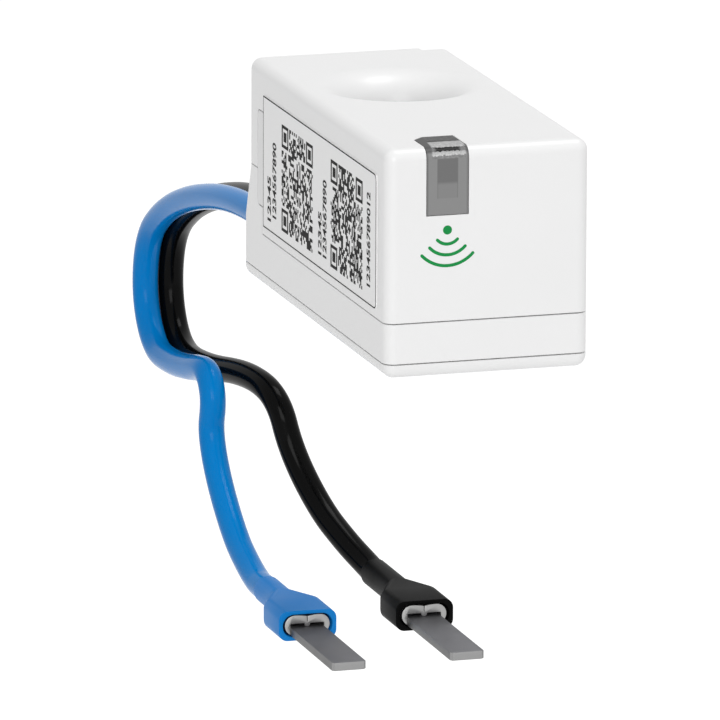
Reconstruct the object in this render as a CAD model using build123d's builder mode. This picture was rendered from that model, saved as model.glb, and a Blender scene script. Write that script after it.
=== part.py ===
from build123d import *
from math import pi, radians, tan
import os

# Smart energy monitor that clips under a modular circuit breaker. Units are millimetres.
# The origin is the middle of the conductor bore: +X right along the front, +Y to the rear, +Z up the bore.

# Housing, one 18 mm DIN module high
body_width = 16.4
body_depth = 39.0
body_height = 18.0
bore_share = 0.6051
edge_radius = 0.9
wall = 1.2
roof = 1.3
shoulder_step = 1.5
shoulder_low = 5.1
shoulder_high = 9.4
overrun = 2.0

# Parting lines of the three mouldings
cover_thickness = 1.2
seam_height = 4.4
seam_step_rear_gap = 5.4
seam_step_height = 9.5
seam_gap = 0.1
seam_gap_depth = 0.6
lip_height = 1.4
lip_thickness = 0.6
lip_root = 1.0
lip_front_setback = 5.0
lip_rear_gap = 8.0
fit_clearance = 0.1

# Conductor bore, whose tube and ring fill the width between the side walls
bore_wall = 0.8
top_flare = 2.85
bottom_flare = 1.0
flare_boss_reach = 1.1
flare_boss_depth = 2.6

# Notch at the rear right of the top
notch_width = 2.5
notch_depth = 1.6
notch_wall = 0.9

# Catch windows in the side walls, and the pads that fill them
window_rear_gap = 4.0
window_length = 5.0
window_low = 6.5
window_top_drop = 3.7
window_radius = 0.6
pad_clearance = 0.12

# Light guide over the top front edge
guide_left_setback = 3.3
guide_width = 3.3
guide_foot_drop = 5.25
guide_depth = 4.2
guide_chamfer = 0.9
guide_flange = 0.5
guide_flange_thickness = 0.4
guide_clearance = 0.06
guide_core_width = 1.7
guide_core_drop = 4.0
guide_core_gap = 0.05

# Sticker on the left wall
label_front_setback = 2.2
label_rear_gap = 6.0
label_low = 5.1
label_top_drop = 2.3
label_radius = 0.5
label_thickness = 0.1

# Boards
board_rib_height = 0.4
board_rib_width = 1.0
board_thickness = 0.8
board_side_clearance = 0.15
board_front_setback = 1.6
board_rear_gap = 5.0
board_corner = 0.8
board_hole_clearance = 0.3
radio_board_setback = 2.5
radio_board_headroom = 0.7
header_height = 2.6
header_width = 8.0
header_length = 2.2
header_pin_width = 0.5
header_pin_pitch = 1.27
header_pin_count = 6
guide_rib_depth = 0.5
guide_rib_length = 0.8

# Parts on the radio board
led_width = 1.4
led_height = 0.8
led_depth = 0.6
led_drop = 1.2
module_width = 9.0
module_depth = 1.4
module_lift = 3.2
module_drop = 1.4
module_corner = 0.4
antenna_width = 3.2
antenna_height = 1.6
antenna_depth = 1.0
antenna_side_gap = 1.0

# Parts on the power board, each with its gap to the side wall and its front face's setback
part_gap = 1.2
dropper_length = 4.4
dropper_height = 8.0
dropper_side_gap = 0.9
dropper_setback = 5.4
bulk_radius = 2.4
bulk_height = 9.0
bulk_vent_depth = 0.2
bulk_vent_width = 0.5
bulk_side_gap = 1.1
bulk_setback = 5.4
varistor_radius = 2.9
varistor_length = 2.2
varistor_foot = 3.0
varistor_side_gap = 1.0
varistor_setback = 10.1
resistor_radius = 1.1
resistor_neck_radius = 0.9
resistor_length = 5.2
resistor_cap = 1.1
resistor_side_gap = 1.6
resistor_setback = 10.7
chip_size = 4.0
chip_height = 1.0
chip_side_gap = 0.8
chip_tube_gap = 0.4
part_fillet = 0.3

# Current transformer round the bore
frame_thickness = 1.0
frame_margin = 0.4
cheek_thickness = 1.0
winding_side_gap = 0.2
winding_thickness = 1.7
winding_tube_gap = 0.3
winding_headroom = 0.4
winding_wrap = 0.4
winding_gap_angle = 24.0
winding_corner = 0.35

# Leads and their outlet
lead_diameter = 2.15
lead_pitch = 2.2
lead_height = 2.9
neutral_setback = 3.9
outlet_clearance = 0.1
clamp_length = 3.0
clamp_margin = 0.7
clamp_headroom = 0.9
clamp_gap = 0.15
wire_radius = 0.5
wire_length = 3.4

# Plug-in blades in their crimped ferrules and moulded boots
blade_width = 2.8
blade_thickness = 0.68
blade_exposed = 11.6
blade_corner = 0.25
collar_radius = 1.15
collar_length = 5.2
boot_width = 4.82
boot_height = 2.45
boot_radius = 0.75
boot_length = 4.4
boot_taper = 3.0
boot_side_rim = 0.34
boot_top_rim = 0.3
ferrule_side_gap = 0.2
ferrule_gap = 0.1
ferrule_length = 3.2
ferrule_recess = 0.12
crimp_slit = 0.06
crimp_slit_depth = 0.4
crimp_groove = 0.1
crimp_groove_width = 0.8
nib_width = 0.44

# Routes of the leads to their boots, each point as x, y, z from where the lead leaves the rear wall
neutral_route = [
    (0, 0, 0),
    (0, 8.6, 0),
    (0, 18.1, -0.7),
    (0, 28.1, -2.8),
    (0, 36.2, -5.5),
    (0, 41.9, -8.9),
    (0, 43.1, -14.4),
    (0, 39.8, -18.3),
    (0, 34.2, -18.2),
    (0, 29.4, -17.5),
    (0, 26.1, -16.8),
    (0, 24.0, -16.6),
    (0, 22.65, -17.45),
    (0, 22.1, -19.0),
    (0, 23.0, -21.5),
    (0, 20.6, -25.0),
    (0, 15.6, -28.75),
    (0, 11.8, -30.2),
    (0, 8.9, -30.92),
    (0, 7.4, -30.92),
]
phase_route = [
    (0, 0, 0),
    (0, 8.6, 0),
    (0, 18.1, -0.7),
    (0, 28.1, -2.8),
    (0, 36.2, -5.5),
    (0, 41.9, -8.9),
    (0, 43.1, -14.4),
    (0, 39.8, -18.5),
    (0.1, 32.6, -18.3),
    (1.4, 23.9, -17.0),
    (2.4, 18.9, -18.0),
    (3.4, 18.4, -22.5),
    (4.95, 15.3, -26.7),
    (6.25, 12.1, -28.9),
    (7.2, 9.9, -30.2),
    (7.56, 8.6, -30.75),
    (7.56, 7.3, -30.75),
]

# Share of the shorter run that an arc of a lead takes at each point of its route
arc_share = 0.45

# Places that follow from the sizes
base_z = -body_height / 2
top_z = body_height / 2
front_y = -bore_share * body_depth
rear_y = front_y + body_depth
upper_rear_y = rear_y - shoulder_step
side_x = body_width / 2
inner_x = side_x - wall
inner_width = 2 * inner_x
inner_front_y = front_y + wall
inner_rear_y = upper_rear_y - wall
pocket_rear_y = rear_y - wall
cover_z = base_z + cover_thickness
seam_z = base_z + seam_height
seam_step_y = rear_y - seam_step_rear_gap
seam_step_z = base_z + seam_step_height
roof_z = top_z - roof
lip_z = seam_z + lip_height
frame_top_z = lip_z + frame_thickness
winding_height = top_z - flare_boss_depth - winding_headroom - frame_top_z
winding_outer_radius = inner_x - winding_side_gap
winding_inner_radius = winding_outer_radius - winding_thickness
tube_radius = winding_inner_radius - winding_tube_gap
bore_radius = tube_radius - bore_wall
flare_boss_radius = tube_radius + flare_boss_reach
frame_reach = winding_outer_radius + frame_margin
lead_radius = lead_diameter / 2
lead_z = base_z + lead_height
neutral_x = -side_x + neutral_setback
phase_x = neutral_x + lead_pitch
outlet_x = (neutral_x + phase_x) / 2
clamp_width = lead_pitch + lead_diameter + 2 * clamp_margin
clamp_top_z = lead_z + lead_radius + clamp_headroom
clamp_front_y = pocket_rear_y - clamp_length
board_z = cover_z + board_rib_height
board_top_z = board_z + board_thickness
board_width = inner_width - 2 * board_side_clearance
board_front_y = front_y + board_front_setback
board_rear_y = rear_y - board_rear_gap
radio_y = front_y + radio_board_setback
radio_z = board_top_z + header_height
radio_board_height = roof_z - radio_z - radio_board_headroom
module_height = radio_board_height - module_lift - module_drop
antenna_x = inner_x - antenna_side_gap - antenna_width / 2
dropper_width = inner_width - dropper_side_gap - part_gap - 2 * bulk_radius - bulk_side_gap
dropper_x = dropper_side_gap + dropper_width / 2 - inner_x
bulk_x = inner_x - bulk_side_gap - bulk_radius
varistor_x = varistor_side_gap + varistor_radius - inner_x
resistor_x = inner_x - resistor_side_gap - resistor_radius
chip_x = inner_x - chip_side_gap - chip_size / 2
window_rear_y = rear_y - window_rear_gap
window_y = window_rear_y - window_length / 2
window_height = body_height - window_low - window_top_drop
window_z = base_z + window_low + window_height / 2
guide_x = -side_x + guide_left_setback + guide_width / 2
guide_foot_z = top_z - guide_foot_drop
guide_core_z = top_z - guide_core_drop
pocket_width = boot_width - 2 * boot_side_rim
pocket_height = boot_height - 2 * boot_top_rim
ferrule_width = pocket_width - 2 * ferrule_side_gap
ferrule_height = pocket_height - 2 * ferrule_gap
ferrule_floor = -ferrule_height / 2
blade_top = ferrule_floor + blade_thickness
wing_floor = ferrule_height / 2 - blade_thickness
boot_front = collar_length + boot_taper + boot_length
ferrule_front = boot_front - ferrule_recess


def side_zone(points):
    """Solid across more than the whole width, whose side outline has the given (y, z) points."""
    with BuildPart() as zone:
        with BuildSketch(Plane.YZ.offset(-side_x - overrun)):
            with BuildLine():
                Polyline(*points, close=True)
            make_face()
        extrude(amount=body_width + 2 * overrun)
    return zone.part


def seam_points(drop):
    """Points of the stepped parting line, lowered and set back by drop."""
    return [
        (front_y - overrun, seam_z - drop),
        (seam_step_y + drop, seam_z - drop),
        (seam_step_y + drop, seam_step_z - drop),
        (rear_y + overrun, seam_step_z - drop),
    ]


def guide_block(margin):
    """L-shaped block through the wall and roof at the front edge, wider by a margin, with its rear left corner cut."""
    left = guide_x - guide_width / 2 - margin
    right = guide_x + guide_width / 2 + margin
    back = front_y + guide_depth + margin
    with BuildPart() as block:
        with BuildSketch(Plane.XY.offset(guide_foot_z - margin)):
            with BuildLine():
                Polyline(
                    (left, front_y - overrun),
                    (right, front_y - overrun),
                    (right, back),
                    (left + guide_chamfer, back),
                    (left, back - guide_chamfer),
                    close=True,
                )
            make_face()
        extrude(amount=top_z + overrun - guide_foot_z + margin)
        with BuildSketch(Plane.XY.offset(guide_foot_z - overrun)):
            with Locations((guide_x, inner_front_y)):
                Rectangle(guide_width + 2 * overrun, guide_depth + overrun, align=(Align.CENTER, Align.MIN))
        extrude(amount=roof_z - guide_foot_z + overrun, mode=Mode.SUBTRACT)
    return block.part


def window_pads(margin):
    """Rounded pads that fill both side windows, smaller by a margin, from the cheeks to the outer wall faces."""
    with BuildPart() as pads:
        for side in (-1, 1):
            with BuildSketch(Plane.YZ.offset(side * (inner_x - fit_clearance - cheek_thickness))):
                with Locations((window_y, window_z)):
                    RectangleRounded(window_length - 2 * margin, window_height - 2 * margin, window_radius - margin)
            extrude(amount=side * (wall + fit_clearance + cheek_thickness))
    return pads.part


# Outer form shared by the three mouldings
with BuildPart() as envelope:
    with BuildSketch(Plane.YZ.offset(-side_x)):
        with BuildLine():
            Polyline(
                (front_y, base_z),
                (rear_y, base_z),
                (rear_y, base_z + shoulder_low),
                (upper_rear_y, base_z + shoulder_high),
                (upper_rear_y, top_z),
                (front_y, top_z),
                close=True,
            )
        make_face()
    extrude(amount=body_width)
    upright = envelope.edges().filter_by(lambda e: abs(e.tangent_at(0).X) < 0.5 and abs(e.tangent_at(0).Z) > 0.5)
    level = envelope.edges().group_by(Axis.Z)[0] + envelope.edges().group_by(Axis.Z)[-1]
    fillet(upright + level, edge_radius)

below = [(rear_y + overrun, base_z - overrun), (front_y - overrun, base_z - overrun)]
above = [(rear_y + overrun, top_z + overrun), (front_y - overrun, top_z + overrun)]
under_seam = side_zone(seam_points(0) + below)
over_seam = side_zone(seam_points(0) + above)

# Thin groove along the outside of the stepped parting line
with BuildPart() as seam_groove:
    add(side_zone(seam_points(0) + seam_points(seam_gap)[::-1]))
    with BuildSketch(Plane.XY.offset(base_z)):
        with Locations((0, (front_y + upper_rear_y) / 2)):
            Rectangle(body_width - 2 * seam_gap_depth, upper_rear_y - front_y - 2 * seam_gap_depth)
    extrude(amount=body_height, mode=Mode.SUBTRACT)

# Upper housing: walls, roof, bore tube with its flared mouth, windows and board ribs
with BuildPart() as upper_housing:
    add(envelope.part)
    add(under_seam, mode=Mode.SUBTRACT)
    with BuildSketch(Plane.XY.offset(base_z)):
        with Locations((0, (inner_front_y + inner_rear_y) / 2)):
            Rectangle(inner_width, inner_rear_y - inner_front_y)
        with Locations((side_x - notch_width - notch_wall, upper_rear_y - notch_depth - notch_wall)):
            Rectangle(notch_width + notch_wall, notch_depth + notch_wall, align=Align.MIN, mode=Mode.SUBTRACT)
    extrude(amount=body_height - roof, mode=Mode.SUBTRACT)
    with BuildSketch(Plane.XY.offset(seam_step_z)):
        with Locations((side_x - notch_width, upper_rear_y - notch_depth)):
            Rectangle(notch_width + overrun, notch_depth + overrun, align=Align.MIN)
    extrude(amount=body_height, mode=Mode.SUBTRACT)
    with BuildSketch(Plane.XY.offset(cover_z)):
        Circle(tube_radius)
    extrude(amount=roof_z - cover_z + roof / 2)
    with BuildSketch(Plane.XY.offset(top_z - flare_boss_depth)):
        Circle(flare_boss_radius)
    extrude(amount=flare_boss_depth - roof / 2)
    with BuildSketch(Plane.XZ):
        with BuildLine():
            Polyline(
                (bore_radius + top_flare, top_z),
                (0, top_z),
                (0, base_z),
                (bore_radius, base_z),
                (bore_radius, top_z - top_flare),
            )
            RadiusArc((bore_radius, top_z - top_flare), (bore_radius + top_flare, top_z), top_flare)
        make_face()
    revolve(axis=Axis.Z, mode=Mode.SUBTRACT)
    add(window_pads(0), mode=Mode.SUBTRACT)
    add(guide_block(guide_clearance), mode=Mode.SUBTRACT)
    for side in (-1, 1):
        for rib_y in (radio_y - guide_rib_length, radio_y + board_thickness):
            with BuildSketch(Plane.XY.offset(radio_z)):
                with Locations((side * (inner_x - guide_rib_depth / 2), rib_y)):
                    Rectangle(guide_rib_depth, guide_rib_length, align=(Align.CENTER, Align.MIN))
            extrude(amount=roof_z - radio_z)

# Lower housing: the band between the parting lines, with the raised rear part and the lead outlet
with BuildPart() as lower_housing:
    add(envelope.part)
    add(over_seam, mode=Mode.SUBTRACT)
    with BuildSketch(Plane.XY.offset(base_z - overrun)):
        with Locations((0, (front_y + rear_y) / 2)):
            Rectangle(body_width + 2 * overrun, body_depth + 2 * overrun)
    extrude(amount=cover_thickness + overrun, mode=Mode.SUBTRACT)
    with BuildSketch(Plane.XY.offset(cover_z)):
        with Locations((0, (inner_front_y + inner_rear_y) / 2)):
            Rectangle(inner_width, inner_rear_y - inner_front_y)
    extrude(amount=body_height, mode=Mode.SUBTRACT)
    with BuildSketch(Plane.XY.offset(cover_z)):
        with Locations((0, pocket_rear_y)):
            Rectangle(inner_width, pocket_rear_y - clamp_front_y, align=(Align.CENTER, Align.MAX))
    extrude(amount=clamp_top_z - cover_z + clamp_gap, mode=Mode.SUBTRACT)
    for side in (-1, 1):
        with BuildSketch(Plane.XZ.offset(-front_y - lip_front_setback)):
            with BuildLine():
                Polyline(
                    (side * inner_x, seam_z - lip_root),
                    (side * inner_x, seam_z),
                    (side * (inner_x - fit_clearance), seam_z),
                    (side * (inner_x - fit_clearance), lip_z),
                    (side * (inner_x - fit_clearance - lip_thickness), lip_z),
                    (side * (inner_x - fit_clearance - lip_thickness), seam_z),
                    close=True,
                )
            make_face()
        extrude(amount=front_y + lip_front_setback + lip_rear_gap - rear_y)
    with BuildSketch(Plane.XZ.offset(-pocket_rear_y + overrun)):
        with Locations((outlet_x, lead_z)):
            SlotCenterToCenter(lead_pitch, lead_diameter + 2 * outlet_clearance)
    extrude(amount=-2 * overrun - wall, mode=Mode.SUBTRACT)
    add(seam_groove.part, mode=Mode.SUBTRACT)
    add(window_pads(0), mode=Mode.SUBTRACT)

# Bottom cover: floor with the bore's lower mouth, a seam groove and the ledge that the power board lies on
with BuildPart() as bottom_cover:
    add(envelope.part)
    with BuildSketch(Plane.XY.offset(cover_z)):
        with Locations((0, (front_y + rear_y) / 2)):
            Rectangle(body_width + 2 * overrun, body_depth + 2 * overrun)
    extrude(amount=body_height, mode=Mode.SUBTRACT)
    with BuildSketch(Plane.XY.offset(cover_z - seam_gap)):
        with Locations((0, (front_y + rear_y) / 2)):
            Rectangle(body_width + 2 * overrun, body_depth + 2 * overrun)
            Rectangle(body_width - 2 * seam_gap_depth, body_depth - 2 * seam_gap_depth, mode=Mode.SUBTRACT)
    extrude(amount=seam_gap, mode=Mode.SUBTRACT)
    with BuildSketch(Plane.XY.offset(cover_z)):
        with Locations((0, (board_front_y + board_rear_y) / 2)):
            Rectangle(board_width, board_rear_y - board_front_y)
            Rectangle(
                board_width - 2 * board_rib_width,
                board_rear_y - board_front_y - 2 * board_rib_width,
                mode=Mode.SUBTRACT,
            )
    extrude(amount=board_rib_height)
    with BuildSketch(Plane.XZ):
        with BuildLine():
            Polyline(
                (bore_radius, cover_z),
                (0, cover_z),
                (0, base_z),
                (bore_radius + bottom_flare, base_z),
            )
            RadiusArc((bore_radius + bottom_flare, base_z), (bore_radius, base_z + bottom_flare), bottom_flare)
            Line((bore_radius, base_z + bottom_flare), (bore_radius, cover_z))
        make_face()
    revolve(axis=Axis.Z, mode=Mode.SUBTRACT)

# Smoke-grey light guide over the front edge, with a flange behind the wall and a core that reaches to the lamp
with BuildPart() as light_guide:
    add(envelope.part)
    add(guide_block(0), mode=Mode.INTERSECT)
    with BuildSketch(Plane.XZ.offset(-inner_front_y)):
        with Locations((guide_x, guide_foot_z - guide_flange)):
            Rectangle(
                guide_width + 2 * guide_flange,
                roof_z - guide_foot_z + guide_flange - fit_clearance,
                align=(Align.CENTER, Align.MIN),
            )
    extrude(amount=-guide_flange_thickness)
    with BuildSketch(Plane.XZ.offset(-inner_front_y)):
        with Locations((guide_x, guide_core_z)):
            Rectangle(guide_core_width, roof_z - guide_core_z, align=(Align.CENTER, Align.MIN))
    extrude(amount=-(radio_y - led_depth - guide_core_gap - inner_front_y))

# Sticker on the left wall, square at the rear and rounded at the front
with BuildPart() as side_label:
    with BuildSketch(Plane.YZ.offset(-side_x)) as label_outline:
        with Locations((front_y + label_front_setback, base_z + label_low)):
            Rectangle(
                body_depth - label_front_setback - label_rear_gap,
                body_height - label_low - label_top_drop,
                align=Align.MIN,
            )
        fillet(label_outline.vertices().group_by(Axis.Y)[0], label_radius)
    extrude(amount=-label_thickness)

# Power board, flat on the cover's ledge with a hole for the bore tube
with BuildPart() as power_board:
    with BuildSketch(Plane.XY.offset(board_z)):
        with Locations((0, (board_front_y + board_rear_y) / 2)):
            RectangleRounded(board_width, board_rear_y - board_front_y, board_corner)
        Circle(tube_radius + board_hole_clearance, mode=Mode.SUBTRACT)
    extrude(amount=board_thickness)

# Header strip that stands on the power board and carries the radio board on its pins
with BuildPart() as board_header:
    with BuildSketch(Plane.XY.offset(board_top_z)):
        with Locations((0, radio_y + board_thickness / 2)):
            Rectangle(header_width, header_length)
    extrude(amount=header_height)
    chamfer(board_header.edges().filter_by(Axis.Z), part_fillet)

# Solder pins of the header, on the rear face of the radio board
with BuildPart() as header_pins:
    with BuildSketch(Plane.XY.offset(radio_z)):
        with Locations((0, radio_y + board_thickness)):
            with GridLocations(header_pin_pitch, 0, header_pin_count, 1):
                Rectangle(header_pin_width, header_pin_width, align=(Align.CENTER, Align.MIN))
    extrude(amount=2 * header_pin_pitch)

# Radio board, upright behind the front wall
with BuildPart() as radio_board:
    with BuildSketch(Plane.XZ.offset(-radio_y)):
        with Locations((0, radio_z)):
            Rectangle(board_width, radio_board_height, align=(Align.CENTER, Align.MIN))
    extrude(amount=-board_thickness)
    chamfer(radio_board.edges().filter_by(Axis.Y).group_by(Axis.Z)[-1], board_corner)

# Indicator lamp on the radio board, right behind the light guide's core
with BuildPart() as status_led:
    with BuildSketch(Plane.XZ.offset(-radio_y)):
        with Locations((guide_x, roof_z - led_drop)):
            Rectangle(led_width, led_height)
    extrude(amount=led_depth)

# Shielded radio module on the rear face of the radio board
with BuildPart() as radio_module:
    with BuildSketch(Plane.XZ.offset(-radio_y - board_thickness)):
        with Locations((0, radio_z + module_lift)):
            Rectangle(module_width, module_height, align=(Align.CENTER, Align.MIN))
    extrude(amount=-module_depth)
    fillet(radio_module.edges().filter_by(Axis.Y), module_corner)
    fillet(radio_module.faces().sort_by(Axis.Y)[-1].edges(), part_fillet)

# Chip antenna at the free top corner of the radio board
with BuildPart() as chip_antenna:
    with BuildSketch(Plane.XZ.offset(-radio_y)):
        with Locations((antenna_x, roof_z - led_drop)):
            Rectangle(antenna_width, antenna_height)
    extrude(amount=antenna_depth)

# Mains dropper capacitor, a potted box
with BuildPart() as dropper_capacitor:
    with BuildSketch(Plane.XY.offset(board_top_z)):
        with Locations((dropper_x, front_y + dropper_setback)):
            Rectangle(dropper_width, dropper_length, align=(Align.CENTER, Align.MIN))
    extrude(amount=dropper_height)
    fillet(dropper_capacitor.edges().filter_by(Axis.Z), part_fillet)
    fillet(dropper_capacitor.faces().sort_by(Axis.Z)[-1].edges(), part_fillet)

# Bulk electrolytic capacitor with its crossed vent
with BuildPart() as bulk_capacitor:
    with BuildSketch(Plane.XY.offset(board_top_z)):
        with Locations((bulk_x, front_y + bulk_setback + bulk_radius)):
            Circle(bulk_radius)
    extrude(amount=bulk_height)
    fillet(bulk_capacitor.faces().sort_by(Axis.Z)[-1].edges(), part_fillet)
    with BuildSketch(Plane.XY.offset(board_top_z + bulk_height)):
        with Locations((bulk_x, front_y + bulk_setback + bulk_radius)):
            Rectangle(bulk_radius, bulk_vent_width)
            Rectangle(bulk_vent_width, bulk_radius)
    extrude(amount=-bulk_vent_depth, mode=Mode.SUBTRACT)

# Surge varistor, a coated disc on its flat foot
with BuildPart() as surge_varistor:
    with BuildSketch(Plane.XZ.offset(-front_y - varistor_setback)):
        with Locations((varistor_x, board_top_z + varistor_radius)):
            Circle(varistor_radius)
        with Locations((varistor_x, board_top_z)):
            Rectangle(varistor_foot, varistor_radius, align=(Align.CENTER, Align.MIN))
    extrude(amount=-varistor_length)
    round_edges = surge_varistor.edges().filter_by(GeomType.CIRCLE)
    fillet(round_edges, part_fillet)

# Fusible resistor lying on the board, with a cap at each end
with BuildPart() as fusible_resistor:
    with BuildSketch(Plane.XZ.offset(-front_y - resistor_setback)):
        with Locations((resistor_x, board_top_z + resistor_radius)):
            Circle(resistor_neck_radius)
    extrude(amount=-resistor_length)
    for cap_setback in (resistor_setback, resistor_setback + resistor_length - resistor_cap):
        with BuildSketch(Plane.XZ.offset(-front_y - cap_setback)):
            with Locations((resistor_x, board_top_z + resistor_radius)):
                Circle(resistor_radius)
        extrude(amount=-resistor_cap)

# Metering chip behind the bore
with BuildPart() as metering_chip:
    with BuildSketch(Plane.XY.offset(board_top_z)):
        with Locations((chip_x, tube_radius + chip_tube_gap)):
            Rectangle(chip_size, chip_size, align=(Align.CENTER, Align.MIN))
    extrude(amount=chip_height)
    chamfer(metering_chip.faces().sort_by(Axis.Z)[-1].edges(), part_fillet / 2)

# Inner frame: a plate on the lips round the tube, with cheeks and the pads that catch in the windows
with BuildPart() as inner_frame:
    with BuildSketch(Plane.XY.offset(lip_z)):
        with Locations((0, -frame_reach)):
            Rectangle(
                inner_width - 2 * fit_clearance,
                window_rear_y - pad_clearance + frame_reach,
                align=(Align.CENTER, Align.MIN),
            )
        Circle(tube_radius + fit_clearance, mode=Mode.SUBTRACT)
    extrude(amount=frame_thickness)
    for side in (-1, 1):
        with BuildSketch(Plane.XY.offset(lip_z)):
            with Locations((side * (inner_x - fit_clearance - cheek_thickness / 2), window_y)):
                Rectangle(cheek_thickness, window_length - 2 * pad_clearance)
        extrude(amount=window_z + window_height / 2 - pad_clearance - lip_z)
    add(window_pads(pad_clearance))

# Ring core of the current transformer
with BuildPart() as transformer_core:
    with BuildSketch(Plane.XY.offset(frame_top_z + winding_wrap)):
        Circle(winding_outer_radius - winding_wrap)
        Circle(winding_inner_radius + winding_wrap, mode=Mode.SUBTRACT)
    extrude(amount=winding_height - 2 * winding_wrap)

# Taped winding round the core, open over a short arc at the rear
with BuildPart() as transformer_winding:
    with BuildSketch(Plane.XZ):
        with Locations(((winding_inner_radius + winding_outer_radius) / 2, frame_top_z + winding_height / 2)):
            RectangleRounded(winding_outer_radius - winding_inner_radius, winding_height, winding_corner)
            Rectangle(
                winding_outer_radius - winding_inner_radius - 2 * winding_wrap,
                winding_height - 2 * winding_wrap,
                mode=Mode.SUBTRACT,
            )
    revolve(axis=Axis.Z, revolution_arc=360 - winding_gap_angle)

# Strain-relief clamp that holds both leads behind the outlet
with BuildPart() as lead_clamp:
    with BuildSketch(Plane.XY.offset(cover_z)):
        with Locations((outlet_x, pocket_rear_y - clamp_gap)):
            Rectangle(clamp_width, clamp_length - clamp_gap, align=(Align.CENTER, Align.MAX))
    extrude(amount=clamp_top_z - cover_z)
    fillet(lead_clamp.faces().sort_by(Axis.Z)[-1].edges().filter_by(Axis.Y), part_fillet)
    with BuildSketch(Plane.XZ.offset(-clamp_front_y + overrun)):
        with Locations((neutral_x, lead_z), (phase_x, lead_z)):
            Circle(lead_radius)
    extrude(amount=-clamp_length - 2 * overrun, mode=Mode.SUBTRACT)


def lead_tail(x):
    """Straight insulated end of a lead, from the outlet's outer face through the wall and the clamp."""
    with BuildPart() as tail:
        with BuildSketch(Plane.XZ.offset(-clamp_front_y)):
            with Locations((x, lead_z)):
                Circle(lead_radius)
        extrude(amount=-(rear_y - clamp_front_y))
    return tail.part


def lead_tube(name, places):
    """Round tube along straight runs joined by arcs at the given places, with its radii and its volume checked."""
    radii = []
    for before, here, after in zip(places, places[1:], places[2:]):
        run_in = here - before
        run_out = after - here
        half_turn = radians(run_in.get_angle(run_out) / 2)
        radii.append(arc_share * min(run_in.length, run_out.length) / tan(half_turn))
    with BuildPart() as tube:
        with BuildLine() as path:
            FilletPolyline(*places, radius=radii)
        with BuildSketch(Plane(origin=places[0], z_dir=places[1] - places[0])):
            Circle(lead_radius)
        sweep()
    length = path.wire().length
    section = pi * lead_radius**2
    print(name, "arc radii", [round(radius, 1) for radius in radii])
    print(name, "length", round(length, 1), "volume over section times length", tube.part.volume / section / length)
    return tube.part


def plug_plane(place):
    """Plane at the rear of a boot: its z axis runs towards the blade's tip and its y axis points up."""
    return Plane(origin=place, x_dir=(1, 0, 0), z_dir=(0, -1, 0))


def plug_boot(plane):
    """Moulded boot: a round collar that widens to a flat rounded block with a pocket for the ferrule."""
    with BuildPart() as boot:
        with BuildSketch(plane):
            Circle(collar_radius)
        extrude(amount=collar_length)
        with BuildSketch(plane.offset(collar_length)):
            Circle(collar_radius)
        with BuildSketch(plane.offset(collar_length + boot_taper)):
            RectangleRounded(boot_width, boot_height, boot_radius)
        loft()
        with BuildSketch(plane.offset(collar_length + boot_taper)):
            RectangleRounded(boot_width, boot_height, boot_radius)
        extrude(amount=boot_length)
        with BuildSketch(plane.offset(boot_front)):
            SlotOverall(pocket_width, pocket_height)
        extrude(amount=-(ferrule_length + ferrule_recess), mode=Mode.SUBTRACT)
    return boot.part


def plug_ferrule(plane):
    """Crimp barrel: two wings rise from the blade's sides and curl over it to a seam with a small nib."""
    with BuildPart() as ferrule:
        with BuildSketch(plane.offset(ferrule_front)):
            SlotOverall(ferrule_width, ferrule_height)
            with Locations((0, ferrule_floor)):
                Rectangle(
                    blade_width,
                    wing_floor - ferrule_floor,
                    align=(Align.CENTER, Align.MIN),
                    mode=Mode.SUBTRACT,
                )
            with Locations((0, blade_top)):
                Rectangle(nib_width, wing_floor - blade_top, align=(Align.CENTER, Align.MIN))
            with BuildLine():
                Polyline(
                    (-crimp_groove_width, ferrule_height / 2),
                    (0, ferrule_height / 2 - crimp_groove),
                    (crimp_groove_width, ferrule_height / 2),
                    close=True,
                )
            make_face(mode=Mode.SUBTRACT)
            with Locations((0, ferrule_height / 2)):
                Rectangle(crimp_slit, 2 * crimp_slit_depth, mode=Mode.SUBTRACT)
        extrude(amount=-ferrule_length)
    return ferrule.part


def plug_blade(plane):
    """Flat blade that is the floor of its ferrule and ends in two small chamfers."""
    with BuildPart() as blade:
        with BuildSketch(plane.offset(ferrule_front - ferrule_length)):
            with Locations((0, ferrule_floor)):
                Rectangle(blade_width, blade_thickness, align=(Align.CENTER, Align.MIN))
        extrude(amount=blade_exposed + ferrule_recess + ferrule_length)
        tip = blade.faces().sort_by(Axis.Y)[0]
        chamfer(tip.edges().filter_by(Axis.Z), blade_corner)
    return blade.part


# Stripped ends of the two leads, soldered to the power board
with BuildPart() as bare_wires:
    with BuildSketch(Plane.XZ.offset(-clamp_front_y)):
        with Locations((neutral_x, lead_z), (phase_x, lead_z)):
            Circle(wire_radius)
    extrude(amount=wire_length)

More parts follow.
